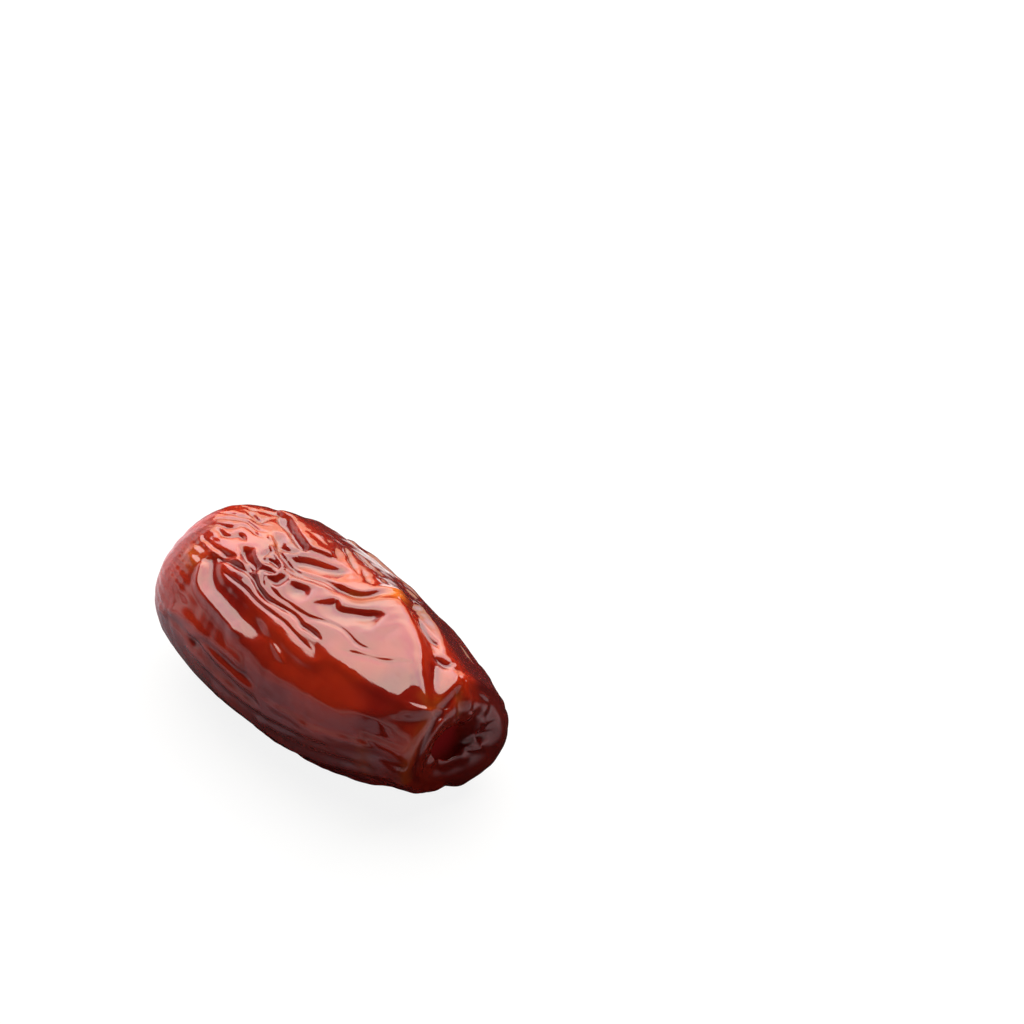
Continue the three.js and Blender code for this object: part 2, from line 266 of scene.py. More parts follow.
# %% The folds
# half width on the right and on the left and height in millimetres, path of places
FOLDS = [
    # The seam across the top: a low crest, then a step down with a groove at its foot.
    (2.6, 1.35, 0.9, [
        (55.5, 41), (57.8, 28), (59.2, 20.5), (62.3, 15.5), (64.5, 11.5), (66.6, 7.5), (68.4, 3),
        (70, -2), (71.9, -9.5), (73.6, -15.5), (75.5, -22), (77, -29), (78.3, -34),
    ]),
    (0.9, 1.5, -0.25, [
        (59.5, 36), (61.2, 28), (63.7, 21), (67.7, 14.5), (71, 5), (73, -1.5), (76.2, -11.5),
        (77.9, -18), (79, -22),
    ]),
    # The rim of the blunt stem end, all the way round.
    (0.6, 1.8, 0.32, [
        (78.5, -175), (78.5, -150), (78.5, -123), (79.5, -77), (79.8, -47), (79.2, -30),
        (78.6, -22),
    ]),
    (0.9, 1.6, 0.45, [
        (78.8, -32), (78.3, -20), (77.9, -10), (77.6, 0), (77, 10), (76, 18), (76, 26),
    ]),
    (0.9, 1.2, 0.4, [
        (76.5, 14), (77.5, 32), (78, 55), (78.5, 90), (79, 125), (78.5, 160), (78.5, 185),
    ]),
    # The crease inside the rim and the second, lower rim.
    (0.5, 0.5, -0.3, [
        (80.5, -140), (81, -111), (83, -78), (82, -47), (80.9, -27.5), (79.9, -12), (78.9, 2.5),
        (78, 14),
    ]),
    (0.7, 0.7, 0.3, [(84, -125), (86, -100), (87, -77), (84, -42.5), (82.8, -27), (82.2, -18)]),
    (0.6, 0.6, -0.3, [(78, 9), (79.3, 7), (82, 5), (85, 4), (87.5, 2), (89, -2)]),
    (0.4, 0.5, 0.3, [(75.8, 24), (77.5, 20), (79.5, 17), (83, 18), (86.5, 21), (89, 32), (90, 45)]),
    (0.5, 0.5, -0.25, [
        (91, 135), (89.5, 120), (88.5, 108), (87.5, 104), (86.5, 95), (84.5, 90), (82.5, 86),
    ]),
    (0.4, 0.4, -0.3, [(90, 75), (89.3, 90), (89.6, 105), (90.3, 118)]),
    (0.25, 0.25, 0.4, [(91, 150), (90.25, 141), (89.5, 130.5), (89, 124)]),
    (0.5, 0.4, -0.4, [(91, 128), (89.75, 115.5), (87.25, 110), (85, 103)]),
    (0.9, 0.7, -0.3, [(81.75, 56), (85, 77.5), (85.75, 105.5), (83.5, 127.5), (80.5, 143)]),
    (0.2, 0.2, 0.25, [(79.8, 33), (80.3, 40), (81, 52), (81.3, 60)]),
    # The right edge of the facet between the seam and the rim, and its dents.
    (0.8, 1.2, 0.35, [
        (58, 42), (60.5, 40.5), (63.2, 37), (65.5, 34.5), (68.5, 27), (70.4, 20), (71.5, 16),
        (72.6, 18), (73.8, 21.5), (75.2, 21),
    ]),
    (0.4, 0.32, -0.5, [(63, 27), (64.5, 24), (66.2, 21.5), (67.7, 20), (68.8, 20), (70.2, 17)]),
    (0.5, 0.45, -0.32, [(70, 7.5), (71, 9.5), (72, 10.5), (73, 12), (73.3, 17), (73.6, 22)]),
    # The long trough along the top: two thin grooves that run into a wide one.
    (0.5, 0.28, -0.3, [
        (38.5, -3), (40.8, -5.5), (42.5, -6.5), (44.8, -6), (46.5, -3.5), (48.5, 0), (51.2, 2.3),
        (53.8, 4.5), (55.4, 9), (56.2, 15), (56.9, 24),
    ]),
    (0.4, 0.25, -0.25, [
        (42.2, -11), (43.5, -10), (44.8, -8.5), (46.2, -7.5), (48, -4.5), (49.8, -2.5), (52, -1),
    ]),
    (1.2, 0.5, -0.4, [
        (49, -1), (51.5, 0.8), (53.5, 2.5), (55.6, 6.5), (56.6, 12), (57.4, 19), (58, 28), (58, 36),
    ]),
    # Lens-shaped dents beside the trough, steep on their far side.
    (1.6, 0.6, -0.6, [
        (52.4, -5), (53.3, -7.5), (54.4, -10.8), (56, -9.3), (57.3, -6.3), (59, -2), (60.3, 2.5),
        (61.5, 6),
    ]),
    (2.0, 0.7, -0.72, [
        (41, -3), (42.5, -2), (43.3, 0.5), (44.7, 4), (47, 8), (48.8, 14), (49.5, 18),
    ]),
    (1.3, 0.65, -0.55, [(44.9, -15), (46, -15.5), (47.4, -15.3), (48.6, -11.5), (49.6, -6.5)]),
    (0.5, 0.5, -0.4, [
        (41.8, -23), (42.5, -22), (43.8, -20.5), (44.1, -16), (44.3, -12.5), (45, -12.5),
    ]),
    # Creases along the near shoulder, and the crest where it turns down.
    (0.2, 0.2, -0.15, [
        (34, -34.5), (37, -34.5), (40.2, -34.5), (43, -36), (45.2, -36.5), (47.5, -36.5),
        (50, -36.5), (52.8, -38), (54.8, -39), (57, -39.5),
    ]),
    (0.35, 0.22, -0.15, [
        (42.5, -24), (43.5, -25), (46, -26.5), (48, -26), (50.2, -26), (52.5, -25), (54, -23),
        (56, -19.8), (57.5, -18.6), (59.2, -18.5), (61.5, -20), (63, -19.5), (64.5, -17),
    ]),
    (0.5, 0.25, -0.09, [
        (60, -30), (61.8, -27.5), (63.2, -25), (65, -22), (66.8, -18.5), (68.2, -14.5), (69.5, -11),
        (70.5, -8),
    ]),
    (0.6, 0.5, -0.08, [(63.5, -11), (64, -7.5), (64.2, -2), (64.2, 3), (64, 7)]),
    (0.3, 0.5, -0.42, [
        (30.5, -28.5), (32, -29), (33.8, -27.5), (35.8, -27), (38.5, -26), (40.8, -28), (43, -31),
        (45, -32),
    ]),
    (0.3, 0.35, -0.3, [
        (41, -28.5), (44, -31.7), (46, -31.2), (48, -30.2), (49.8, -29.5), (51.2, -30),
        (52.5, -31.7), (54, -31.3), (56, -31.3), (57, -31.5),
    ]),
    (0.9, 1.5, 0.3, [
        (44, -43), (48.2, -42.5), (50.5, -42.5), (54.5, -45), (56.8, -45.5), (58.5, -43.5),
        (59.3, -39.5), (61, -36.5), (65, -35.5), (67.8, -34.7), (70.6, -34), (73, -32.5),
        (75.6, -31),
    ]),
    # The long bulge low on the shoulder, and the furrow above it.
    (0.65, 0.6, 0.42, [
        (29, -36), (30.4, -40), (31.2, -44.5), (32.2, -49), (34, -51.5), (36.5, -52.5), (39.5, -54),
        (43.2, -56), (45.5, -57),
    ]),
    (0.8, 1.0, 0.2, [(22.5, -35), (25.2, -38), (27.8, -41.5), (30, -44)]),
    (0.9, 1.2, -0.42, [
        (29.5, -30), (31, -33.5), (32.8, -39.5), (35.5, -44.5), (38.2, -45.5), (41.2, -47),
        (44, -48.5), (50, -50),
    ]),
    (0.5, 0.3, 0.2, [(49.5, -49), (52, -52), (54.5, -55.5)]),
    # Thin crests and dark valleys that run together at the tip.
    (0.22, 0.22, -0.17, [
        (20, 3), (22.5, 7), (25.25, 8), (28, 10.5), (29.5, 9), (31.5, 9.5), (33.25, 12),
    ]),
    (0.22, 0.22, -0.16, [(19, 22), (22, 24), (25, 21), (27, 25), (30, 27), (32, 24)]),
    (0.3, 0.3, -0.25, [
        (24.5, 17), (25.8, 16), (27.5, 14), (29.5, 11.5), (30.5, 12), (30.5, 17.5), (31.2, 21),
    ]),
    (0.25, 0.25, -0.17, [
        (21, -5), (22.5, -2), (25.5, 2.5), (27.8, 5.5), (30.2, 4), (32.5, 2.5), (34.2, 5.5),
    ]),
    (0.28, 0.28, -0.2, [
        (23.5, -9), (25.5, -7.5), (27.8, -5), (29, 0.5), (31, 0), (33, -1.5), (34.8, -1),
    ]),
    (0.35, 0.35, -0.28, [
        (24.5, -11), (25.8, -12.5), (27.8, -14.5), (29.5, -12.5), (30.5, -8.5), (32.2, -9.5),
        (33.5, -10.5),
    ]),
    (0.4, 0.28, -0.23, [
        (23.5, -22), (25.5, -24.5), (28.8, -26), (30.8, -25), (32.5, -24.5), (34, -22.5),
        (34.8, -20),
    ]),
    (0.3, 0.3, 0.22, [
        (25.5, -25.5), (26.5, -26.5), (30, -28), (32, -28), (34, -26), (36.8, -22), (39.5, -23.5),
        (40.5, -23.5), (41.5, -26), (42.5, -28), (45, -28.5),
    ]),
    (0.3, 1.0, -0.6, [
        (32.5, -14.5), (34, -17), (35.4, -19.5), (37.3, -22), (39, -23), (40.5, -23),
    ]),
    (0.3, 0.7, -0.55, [
        (30.5, 25.5), (32.6, 20), (35.2, 17), (37.5, 13), (39.5, 10), (41, 8.5), (42.5, 8),
    ]),
    (0.3, 1.9, 0.5, [
        (28, 33), (30, 31), (31.8, 28.5), (33.2, 27.5), (36.2, 21), (39, 16), (41.8, 12),
        (43, 12.5), (45.2, 16), (46, 19),
    ]),
    (0.3, 0.3, 0.15, [(38.5, 23.5), (39.2, 23.5), (40.2, 24.5), (42.2, 23), (43, 22)]),
    (0.3, 0.9, -0.5, [(34.5, 8), (35.8, 5), (37.5, 1), (38.8, -4), (40, -8.5)]),
    (0.25, 0.3, -0.3, [(37.5, 0), (38.8, 1), (40.2, 1), (41.2, 4), (41.6, 9)]),
    # The knot where they meet.
    (0.22, 0.22, 0.22, [
        (35.2, -9), (36, -11.5), (37.8, -15.5), (39.5, -17), (41, -15.5), (42.8, -15.5),
    ]),
    (0.22, 0.22, 0.24, [
        (37.2, -1.5), (38.5, -4), (40, -7.5), (41.8, -9.5), (42.8, -14.5), (42.4, -19), (40.8, -22),
    ]),
    (0.16, 0.16, -0.16, [(39, -21), (40, -20), (41, -18.5), (42.2, -17), (43, -15.5)]),
    (0.16, 0.16, -0.16, [(40, -20.5), (40.8, -22), (41.8, -25), (42.5, -26.5), (43, -28)]),
    (0.2, 0.2, -0.22, [(38.8, -14), (38.2, -12.5), (38, -9.5), (37.8, -6), (37.5, -4)]),
    (0.24, 0.24, -0.26, [(38.6, -11), (39.5, -12), (41, -12), (42, -12.5), (42.6, -13.5)]),
    (0.2, 0.2, 0.25, [(34.8, 2.5), (35.5, 1.5), (36.4, -0.5)]),
    (0.2, 0.2, 0.25, [(37, -3), (37.8, -4.5), (38.7, -6.5)]),
    (0.2, 0.2, 0.25, [(38.6, -13.5), (39.2, -12), (40, -8.5)]),
    # Short folds high on the far side of the crown.
    (0.35, 0.3, -0.3, [(43.5, 36), (44.5, 32.5), (46, 29), (47.5, 25.5), (49.5, 22), (51.5, 19)]),
    (0.35, 0.3, -0.22, [(44.5, 37), (47, 38), (49.5, 37), (51.5, 39)]),
    (0.5, 0.4, -0.13, [(49, 42), (51.5, 37), (52.8, 32), (54.5, 31), (55.5, 35)]),
    (0.4, 0.4, -0.2, [(49.5, 27), (51, 24), (53.2, 20), (55.5, 18.5)]),
    # Long folds down the far side.
    (0.5, 1.2, 0.4, [(36, 66), (42, 69), (48, 68), (54, 74), (60, 80), (68, 82), (76, 88)]),
    (0.5, 1.0, 0.4, [(30, 80), (40, 86), (50, 84), (58, 92), (66, 95), (75, 100)]),
    (1.0, 0.5, 0.35, [(42, 103), (54, 100), (64, 108), (76, 112)]),
    # The edge where the near side turns under, and the waves below it.
    (1.2, 1.5, 0.24, [
        (41.5, -61), (44.5, -60), (48, -63), (52, -67.5), (56.8, -64), (61.2, -63), (66.2, -59),
        (70.8, -49), (76, -42),
    ]),
    (1.1, 1.1, -0.16, [
        (50, -82), (55.2, -80.5), (59, -78.5), (63.2, -79), (67, -71.5), (71, -64), (76.8, -60),
        (79, -60),
    ]),
    (0.8, 0.8, -0.3, [(66, -90), (69.5, -87), (73.5, -81), (77.8, -84), (79.5, -88)]),
    # Folds on the lower near side.
    (0.6, 0.7, 0.22, [
        (24, -88), (26.8, -83.5), (30.8, -74), (34, -71.5), (39.2, -72.5), (44.5, -72), (48, -75),
    ]),
    (0.6, 0.6, -0.2, [
        (27, -82), (29.2, -80), (32.5, -80), (35.5, -81), (38, -77), (40.2, -74.5), (43.8, -76.5),
        (47.2, -77.5), (51.2, -79),
    ]),
    (0.5, 0.5, 0.2, [
        (33, -77), (36.5, -76.5), (39.5, -77.5), (41.5, -79), (43.5, -80), (46.2, -81.5),
        (48.2, -82.5), (51, -84),
    ]),
    (0.55, 0.5, -0.22, [
        (34, -81), (37, -81), (39.2, -82.5), (42.5, -85), (46, -87.5), (49.2, -89), (52, -90),
    ]),
    (0.6, 0.6, 0.2, [
        (34, -88), (40, -90), (44, -92.5), (49, -94), (54, -93), (60, -91), (66, -87),
    ]),
    (0.6, 0.6, -0.25, [
        (38, -94), (43, -97.5), (49.2, -99), (53, -99), (57, -97), (61, -96.5), (66, -93),
    ]),
    (0.6, 0.5, 0.3, [(50, -103), (52, -102), (54.2, -100), (57, -99), (59.5, -99)]),
    (0.8, 0.8, 0.25, [
        (40, -103), (43, -105), (48, -109), (53, -111), (59, -113), (64, -112), (71, -104),
        (78, -100),
    ]),
    (0.7, 0.7, -0.25, [(56, -108), (60, -106), (64, -105), (69, -100), (74, -97)]),
    (0.55, 0.55, 0.16, [(52, -85), (57, -84), (61, -85), (65, -82), (69, -78), (73, -74)]),
]
print("single folds:", len(FOLDS))

# %% [markdown]
# ## Long wrinkles
#
# Over the rest of the skin the folds run from end to end, wander, and draw together at the tip.
# Two waves that go round the fruit make them: each wave's phase drifts slowly, so that no crest
# is straight, and its height swells and fades. They are held back where the single folds are.

# %% Wrinkles
# crests round the fruit, height in millimetres, wander in degrees, sharpness and seed
WRINKLES = [(12, 0.9, 20, 0.9, 1), (23, 0.5, 13, 1.5, 2)]
FINE_WRINKLES = [(41, 0.16, 9, 1.3, 3), (67, 0.07, 7, 1.2, 4)]
SMOOTH_ALONG = (47, 36, 8)         # middle, half size and edge of the smoother skin
FINE_SMOOTH_ALONG = (58, 26, 9)    # the fine ones reach further from the tip
SMOOTH_AROUND = (-36, 78, 22)
SMOOTH_SHARE = 0.1                 # how much of the wrinkles is left there
WRINKLES_START, FINE_START = (1, 12), (12, 34)
WRINKLES_END = (68, 82)
VALLEY_ROUNDING = 0.03             # keeps the valleys between crests from being sharp
MIDDLE_LEVEL = 0.6                 # the part of a crest's height that lies under the plump body
STRENGTH, STRENGTH_SWING = 0.65, 0.35    # how strong a layer is, and how much that varies
UNEVENNESS = 0.025                 # millimetres


def slow_wave(along, turn, seed):
    """A slow wave over the skin between -1 and 1, another one for each seed."""
    return (0.5 * np.sin(2 * turn + 0.07 * along + 2.4 * seed)
            + 0.3 * np.sin(3 * turn - 0.13 * along + 4.1 * seed)
            + 0.2 * np.sin(5 * turn + 0.19 * along + 1.7 * seed))


def layer_rise(along, around, count, height, wander, sharpness, seed):
    """One layer of wrinkles: rounded crests with narrow valleys between them."""
    turn = np.radians(around)
    drift = math.radians(wander) * slow_wave(along, turn, seed)
    crest = (np.cos(count * (turn + drift) / 2) ** 2 + VALLEY_ROUNDING) ** (sharpness / 2)
    strength = STRENGTH + STRENGTH_SWING * slow_wave(2.3 * along, turn, seed + 7)
    return height * strength * (crest - MIDDLE_LEVEL)


def uneven_rise(points):
    """Slight unevenness of the soft flesh all over, which bends the edges of reflections."""
    x, y, z = points.T
    broad = np.sin(1.5 * x + 1.1 * y + 2 * np.sin(0.45 * z + 1)) * np.sin(1.3 * z - 0.9 * y + 0.7 * x)
    small = np.sin(2.9 * x - 2.3 * y + 1.9 * z + 2 * np.sin(0.8 * x))
    return UNEVENNESS * (broad + 0.5 * small)


def within(value, middle, half, edge):
    """1 in the middle of a stretch and 0 outside it."""
    return 1 - smoothstep(np.abs(value - middle), half, half + edge)


def wrinkle_rise(along, around):
    """How far the long wrinkles lift each place."""
    rise = np.zeros(len(along))
    kinds = ((WRINKLES, SMOOTH_ALONG, WRINKLES_START), (FINE_WRINKLES, FINE_SMOOTH_ALONG, FINE_START))
    for layers, smooth_along, begin in kinds:
        smooth = within(along, *smooth_along) * within(around, *SMOOTH_AROUND)
        whole = sum(layer_rise(along, around, *layer) for layer in layers)
        rise += whole * (1 + (SMOOTH_SHARE - 1) * smooth) * smoothstep(along, *begin)
    return rise * (1 - smoothstep(along, *WRINKLES_END))


print("crests round the fruit:", [layer[0] for layer in WRINKLES + FINE_WRINKLES])

# %% [markdown]
# ## The mouth and the hollow
#
# Pushing the stone out leaves a puckered mouth in the dished end and a hollow as long as the
# stone. The skin simply turns in over the lip and goes on as the hollow's wall, so there is no
# cut edge to hide. The wall is a smooth line through sections, from the lip to the blind end.

# %% The mouth and the hollow
LIP_ALONG = 91.5
LIP_PUCKERS, LIP_PUCKER_HEIGHT, PUCKER_REACH = 9, 0.22, 11
LIP_ROLL, LIP_ROLL_REACH = 0.35, 2.5    # the lip is a little thicker than the skin beside it
LIP_ROLL_ALONG = LIP_ALONG - 1.5
TURN_IN = 4                             # how far outside the lip the skin begins to turn in
SECTION_POWER = 2.4                     # 2 is an ellipse, and more is squarer
# middle of a section from the body's middle, its half width and half height
HOLLOW_SECTIONS = [
    (18.3, -0.4, -0.9, 2.3, 2.2), (17.5, -0.4, -0.9, 2.15, 2.05), (16.4, -0.3, -0.7, 2.35, 2.2),
    (14.9, -0.2, -0.4, 2.8, 2.6), (12.6, 0, 0, 3.4, 3), (9.3, 0, 0, 3.9, 3.2), (5.5, 0, 0, 3.9, 3.25),
    (1.5, 0, 0, 3.5, 2.95), (-1.5, 0, 0, 2.6, 2.2), (-3.3, 0, 0, 1.3, 1.1), (-3.8, 0, 0, 0, 0),
]


def pucker_rise(along, around):
    """How far the small puckers round the mouth and the rolled lip lift each place."""
    turn = np.radians(around)
    near_lip = smoothstep(along, LIP_ALONG - PUCKER_REACH, LIP_ALONG)
    strength = 0.6 + 0.4 * np.sin(3 * turn + 1)
    wave = np.cos(LIP_PUCKERS * turn + 1.3 * np.sin(2 * turn + 0.6))
    roll = LIP_ROLL * np.exp(-((along - LIP_ROLL_ALONG) / LIP_ROLL_REACH) ** 2)
    return LIP_PUCKER_HEIGHT * near_lip * strength * wave + roll


def skin_points(along, around):
    """The skin outside the lip, pressed flat where it rests, and how far folds lift it."""
    points = body_points(along, around)
    single = sum(fold_rise(points, *fold) for fold in FOLDS)
    rise = single + wrinkle_rise(along, around) + pucker_rise(along, around) + uneven_rise(points)
    rise *= smoothstep(points[:, 2], FLOOR_HEIGHT, FLOOR_HEIGHT + REST_EDGE)
    points += outward(points) * rise[:, None]
    points[:, 2] = np.maximum(points[:, 2], FLOOR_HEIGHT)
    return points, rise


def section_points(section, around):
    """The hollow's wall in one of its sections."""
    x, y, z, half_width, half_height = section
    turn = np.radians(around)
    aside, up = (
        np.sign(part) * np.abs(part) ** (2 / SECTION_POWER) for part in (np.sin(turn), np.cos(turn))
    )
    return np.stack([np.full_like(turn, x), y + half_width * aside, z + half_height * up], axis=-1)


def lining_points(share, around):
    """The skin inside the lip, at a share of the way from the lip to the hollow's end."""
    ring = np.ones_like(around)
    stations = [skin_points(place * ring, around)[0] for place in (LIP_ALONG - TURN_IN, LIP_ALONG)]
    stations += [section_points(section, around) for section in HOLLOW_SECTIONS]
    stations.append(2 * stations[-1] - stations[-2])
    stations = np.array(stations)
    spans = len(HOLLOW_SECTIONS)
    place = np.clip(share * spans, 0, spans - 1e-6)
    index = place.astype(int)
    part = (place - index)[:, None]
    each = np.arange(len(around))
    before, start, end, after = (stations[index + shift, each] for shift in range(4))
    lead, trail = (end - before) / 2, (after - start) / 2
    cubic = 2 * (start - end) + lead + trail
    square = 3 * (end - start) - 2 * lead - trail
    return ((cubic * part + square) * part + lead) * part + start


print("the hollow's length in mm:", round(HOLLOW_SECTIONS[0][0] - HOLLOW_SECTIONS[-1][0], 1))

# %% [markdown]
# ## The mesh
#
# A cube cut into many small squares has no crowded poles, unlike a globe of rings. Its corners
# are carried out to a ball and from there to the skin. It is cut more finely along than around,
# because the date is twice as long as it is wide, and the squares are drawn together on the side
# that is lit and looked at most.

# %% The cut cube
CUTS_ALONG, CUTS_AROUND = 150, 116
LIP_ANGLE = math.radians(146)    # of the ball's 180 degrees from end to end, those outside the lip
FINE_SIDE = math.radians(-25)    # the side where the squares are drawn closer together
FINE_SHARE = 0.38


def cut_cube():
    """A cube with its faces cut into small squares."""
    bm = bmesh.new()
    bmesh.ops.create_cube(bm, size=2)
    lengthwise = [edge for edge in bm.edges if abs(edge.verts[0].co.x - edge.verts[1].co.x) > 1]
    bmesh.ops.subdivide_edges(bm, edges=lengthwise, cuts=CUTS_ALONG, use_grid_fill=True)
    crosswise = [edge for edge in bm.edges if abs(edge.verts[0].co.x - edge.verts[1].co.x) < 1e-3]
    bmesh.ops.subdivide_edges(bm, edges=crosswise, cuts=CUTS_AROUND, use_grid_fill=True)
    return bm


def to_places(corners):
    """Carries the cube's corners to a ball, and gives each one's angle from the tip and around."""
    even = np.tan(corners * math.pi / 4)
    ways = unit(even)
    angle = np.arccos(np.clip(-ways[:, 0], -1, 1))
    turn = np.arctan2(ways[:, 1], ways[:, 2])
    turn -= FINE_SHARE * np.sin(turn - FINE_SIDE)
    return angle, np.degrees(turn)


# %% [markdown]
# ## Relief, kept on the mesh
#
# The skin is painted darker in its creases, as painted shade. That depends on how low a spot lies
# in its neighbourhood, so its height over the average round it is measured once on the mesh and
# kept as an attribute that the material can read. Noise could darken it too, but wouldn't know
# where the creases are.

# %% The relief
RELIEF_ROUNDS = 40    # rounds of averaging that make up a spot's neighbourhood


def local_relief(mesh, heights):
    """How far each vertex stands over the average of its neighbourhood."""
    edges = np.empty(2 * len(mesh.edges), int)
    mesh.edges.foreach_get("vertices", edges)
    first, second = edges.reshape(-1, 2).T
    count = np.bincount(edges, minlength=len(heights))
    level = heights.copy()
    for _ in range(RELIEF_ROUNDS):
        total = np.bincount(first, level[second], len(heights))
        total += np.bincount(second, level[first], len(heights))
        level = total / count
    return heights - level


# %% [markdown]
# ## Painted glow and painted shade
#
# Where the skin stands up in a thin crest, light comes through it and it looks orange; here that
# glow is painted into the colour as painted light. The stem end, the underside and the far side
# are painted dark, nearly black, as painted shade. Both are painted by place, as a maker would
# with a soft brush: lines of painted glow along a few crests, and broad bands of painted shade at
# the stem end, underneath and on the far side.

# %% Painted glow and painted shade
# spread in millimetres, strength and path of each painted glow: orange light through thin crests, and
# one soft painted highlight towards the tip
GLOWS = [
    (1.0, 1.0, [(57.5, 27), (58.6, 24)]),
    (0.5, 0.4, [(54, 3), (55.8, 7), (57.2, 14), (58, 22)]),
    (1.2, 0.3, [(25.2, -38.5), (27.5, -40)]),
    (0.5, 0.2, [(75.2, -20), (76.6, -21.5), (78.2, -23)]),
    (0.6, 0.22, [(78, -13), (79, -30), (79.8, -47), (79.8, -77), (78.8, -110)]),
    (0.5, 0.25, [(79.3, 7), (82, 5), (85, 4)]),
    (1.0, 0.15, [(71, -80), (71, -100)]),
    (0.7, 0.25, [(35, 4), (37, 0)]),
]


def glow_at(along, around):
    """How strong the painted orange glow is at each place."""
    points = body_points(along, around)
    glow = np.zeros(len(points))
    for spread, strength, path in GLOWS:
        places = smooth_path(np.array(path, float), FOLD_STEPS)
        distance = nearest_on_line(points, body_points(places[:, 0], places[:, 1]))[0]
        glow = np.maximum(glow, strength * np.exp(-(distance / spread) ** 2))
    return glow


# how dark a region's painted shade is, and between which two places its edge lies
SHADE_STEM_END = (0.4, 78, 84)
SHADE_UNDERNEATH = (0.35, 66, 100)
SHADE_FAR_SIDE = (0.8, 18, 42)
DARKER_TOWARDS_STEM = (0.2, 48, 66)    # what the far side gains there
FAR_SIDE_BEGINS = (8, 34)             # it is as red as the rest at the pointed end
FAR_SIDE_AT_STEM_END = 0.5            # the share of its painted shade that is left inside the rim


def painted_shade_at(along, around):
    """How dark the painted shade is: darker at the stem end, underneath and on the far side."""
    share, *edge = SHADE_STEM_END
    within_rim = smoothstep(along, *edge)
    stem_end = share * within_rim
    share, *edge = SHADE_UNDERNEATH
    underneath = share * smoothstep(-around, *edge)
    gain, *gain_edge = DARKER_TOWARDS_STEM
    share, *edge = SHADE_FAR_SIDE
    far_side = (share + gain * smoothstep(along, *gain_edge)) * smoothstep(around, *edge)
    far_side *= smoothstep(along, *FAR_SIDE_BEGINS)
    far_side *= 1 - (1 - FAR_SIDE_AT_STEM_END) * within_rim
    return np.maximum.reduce([stem_end, underneath, far_side])


def store(mesh, name, values):
    """Keeps one number for each vertex, which a material can read."""
    mesh.attributes.new(name, "FLOAT", "POINT").data.foreach_set("value", values.astype(np.float32))


# %% [markdown]
# ## Build the date
#
# Now the pieces come together: each corner of the cut cube gets its place on the skin or on the
# hollow's wall. The date is then set down so that the middle of its footprint is the origin, as
# in the measured model, and it takes that model's place.

# %% Build the date
def build_date():
    """The whole date as one closed surface, and the place of its middle."""
    bm = cut_cube()
    mesh = bpy.data.meshes.new("date_fruit")
    bm.to_mesh(mesh)
    bm.free()
    corners = np.empty(3 * len(mesh.vertices))
    mesh.vertices.foreach_get("co", corners)
    angle, around = to_places(corners.reshape(-1, 3))
    outside = angle <= LIP_ANGLE
    points = np.empty((len(angle), 3))
    rise = np.zeros(len(angle))
    along = angle / LIP_ANGLE * LIP_ALONG
    points[outside], rise[outside] = skin_points(along[outside], around[outside])
    way_in = (angle[~outside] - LIP_ANGLE) / (math.pi - LIP_ANGLE)
    points[~outside] = lining_points(way_in, around[~outside])
    inside = np.zeros(len(angle))
    inside[~outside] = way_in
    box_middle = (points.min(0) + points.max(0)) / 2
    shift = np.array([*-box_middle[:2], -points[:, 2].min()])
    mesh.vertices.foreach_set("co", ((points + shift) / 1000).ravel())
    mesh.update()
    store(mesh, "relief", local_relief(mesh, rise))
    store(mesh, "glow", glow_at(along, around))
    store(mesh, "painted_shade", painted_shade_at(along, around))
    store(mesh, "inside", inside)
    mesh.shade_smooth()
    piece = bpy.data.objects.new("date_fruit", mesh)
    bpy.context.collection.objects.link(piece)
    return piece, Vector(shift / 1000)


date, body_middle = build_date()
print("triangles:", 2 * len(date.data.polygons))
print("the body's middle in mm:", [round(1000 * value, 2) for value in body_middle])
print("the camera's distance in metres:", round(add_camera(body_middle), 3))

# %% [markdown]
# ## Helpers for materials
#
# A material is a tree of nodes. Each node could be placed by hand, but a few helpers make the
# steps that come again and again: read a number, ease it between two values, and mix by it.

# %% Helpers for materials
def new_material(name):
    """An empty material with one shader, and its node tree."""
    material = bpy.data.materials.new(name)
    material.use_nodes = True
    tree = material.node_tree
    tree.nodes.clear()
    output = tree.nodes.new("ShaderNodeOutputMaterial")
    shader = tree.nodes.new("ShaderNodeBsdfPrincipled")
    tree.links.new(shader.outputs["BSDF"], output.inputs["Surface"])
    return material, tree, shader


def attribute(tree, name):
    """A number that was kept on the mesh."""
    node = tree.nodes.new("ShaderNodeAttribute")
    node.attribute_name = name
    return node.outputs["Fac"]


def mapped(tree, value, low, high, low_result=0.0, high_result=1.0):
    """A smooth rise from one result to another while a value goes from low to high."""
    node = tree.nodes.new("ShaderNodeMapRange")
    node.interpolation_type = "SMOOTHSTEP"
    node.inputs["From Min"].default_value = low
    node.inputs["From Max"].default_value = high
    node.inputs["To Min"].default_value = low_result
    node.inputs["To Max"].default_value = high_result
    tree.links.new(value, node.inputs["Value"])
    return node.outputs["Result"]


def mixed(tree, factor, first, second):
    """A colour between two, each given as a socket or as red, green and blue."""
    node = tree.nodes.new("ShaderNodeMix")
    node.data_type = "RGBA"
    sockets = [socket for socket in node.inputs if socket.type == "RGBA"]
    tree.links.new(factor, node.inputs[0])
    for socket, colour in zip(sockets, (first, second)):
        if isinstance(colour, tuple):
            socket.default_value = (*colour, 1)
        else:
            tree.links.new(colour, socket)
    return next(socket for socket in node.outputs if socket.type == "RGBA")


def noise(tree, scale, detail=2.0):
    """Noise that stays fixed to the object, with so many waves in a metre."""
    coordinates = tree.nodes.new("ShaderNodeTexCoord")
    node = tree.nodes.new("ShaderNodeTexNoise")
    node.inputs["Scale"].default_value = scale
    node.inputs["Detail"].default_value = detail
    tree.links.new(coordinates.outputs["Object"], node.inputs["Vector"])
    return node.outputs["Fac"]
